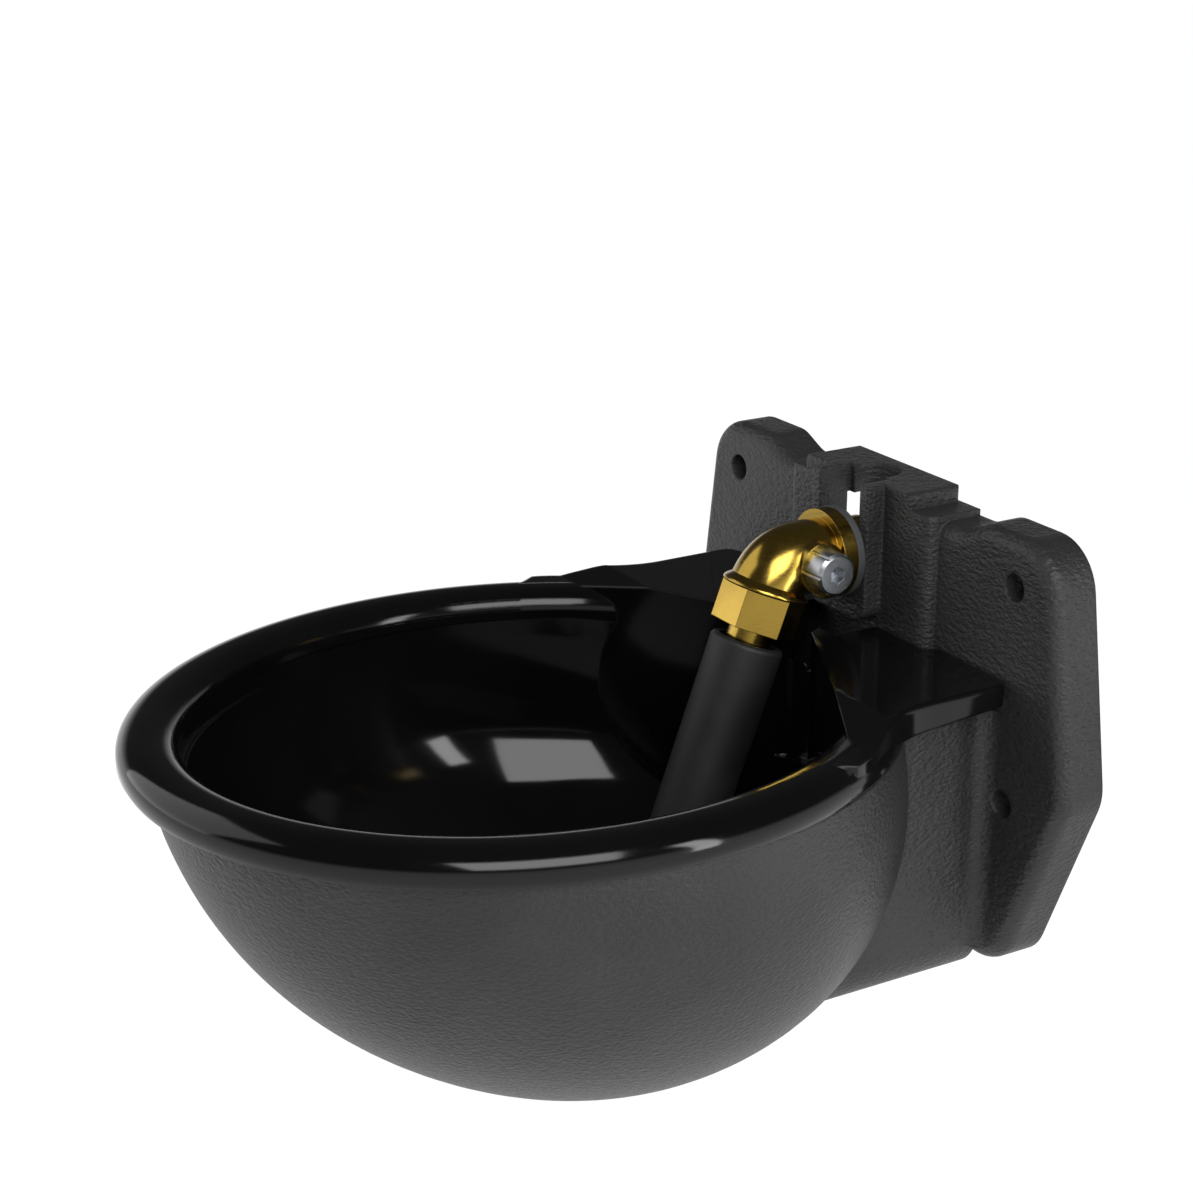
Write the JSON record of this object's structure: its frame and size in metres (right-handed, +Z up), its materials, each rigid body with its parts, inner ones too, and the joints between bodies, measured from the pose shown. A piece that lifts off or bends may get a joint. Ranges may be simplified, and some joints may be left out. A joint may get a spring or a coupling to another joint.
{
  "type": "livestock drinking bowl",
  "caption": "Wall-hung oval drinking bowl for livestock: enamelled bowl in a moulded housing with a heating element and a brass valve worked by a tilting tube.",
  "frame": {"origin": "centre of the four wall bolt holes, on the wall plane", "axes": "+X to the right of someone facing the bowl, +Y into the wall, +Z up"},
  "size_m": [0.22, 0.2685, 0.1918],
  "materials": {
    "housing": "textured moulded polyethylene, charcoal",
    "bowl": "black glossy enamel on cast iron",
    "heater": "dark annealed stainless tube",
    "potting": "potted nylon block",
    "thermostat": "phenolic body with tinned tabs",
    "steel": "zinc plated steel",
    "gland": "grey-black polyamide",
    "rubber": "black nitrile rubber",
    "gasket": "grey fibre-filled rubber",
    "brass": "polished yellow brass",
    "tube": "matte black polyethylene tube",
    "screw": "turned aluminium"
  },
  "bodies": {
    "housing": {"housing": "housing", "gland_body": "gland", "gland_locknut": "gland", "gland_seal": "rubber", "gland_cap": "gland", "thermostat": "thermostat"},
    "bowl": {"bowl": "bowl"},
    "heater": {"heater_element": "heater", "terminal_head": "potting", "heater_ferrules": "steel", "head_screws": "steel"},
    "bolt": {"fixing_bolt": "steel", "bolt_washer": "steel"},
    "gasket": {"valve_gasket": "gasket"},
    "valve": {"valve_elbow": "brass", "seat_nipple": "brass", "seat_ring": "rubber", "valve_spring": "steel"},
    "tube": {"valve_spindle": "brass", "flow_tube": "tube", "spindle_nut": "brass"},
    "throttle_seal": {"throttle_o_ring": "rubber"},
    "throttle": {"throttle_screw": "screw"}
  },
  "joints": [
    {"name": "bowl_lift", "type": "slide", "parent": "housing", "child": "bowl", "axis": [0, 0, 1], "range_m": [0, 0.104]},
    {"name": "heater_lift", "type": "slide", "parent": "housing", "child": "heater", "axis": [0, 0, 1], "range_m": [0, 0.0846]},
    {"name": "valve_lift", "type": "slide", "parent": "housing", "child": "gasket", "axis": [0, -0.1049, 0.9945], "range_m": [0, 0.15023]},
    {"name": "valve_pull", "type": "slide", "parent": "gasket", "child": "valve", "axis": [0, -1, 0], "range_m": [0, 0.02115]},
    {"name": "tube_tilt", "type": "hinge", "parent": "valve", "child": "tube", "pos_m": [0, -0.05809, 0.01213], "axis": [1, 0, 0], "range_deg": [-6, 6], "stiffness_Nm_per_rad": 1.2},
    {"name": "throttle_pull", "type": "slide", "parent": "valve", "child": "throttle_seal", "axis": [1, 0, 0], "range_m": [0, 0.034]},
    {"name": "throttle_turn", "type": "hinge", "parent": "throttle_seal", "child": "throttle", "pos_m": [0, -0.0421, 0.028], "axis": [1, 0, 0], "range_deg": [0, 90]},
    {"name": "bolt_drop", "type": "slide", "parent": "housing", "child": "bolt", "axis": [0, 0, -1], "range_m": [0, 0.015]}
  ],
  "couplings": [
    {"joint": "heater_lift", "follows": "bowl_lift", "ratio": 0.8125},
    {"joint": "valve_lift", "follows": "bowl_lift", "ratio": 1.4435}
  ]
}
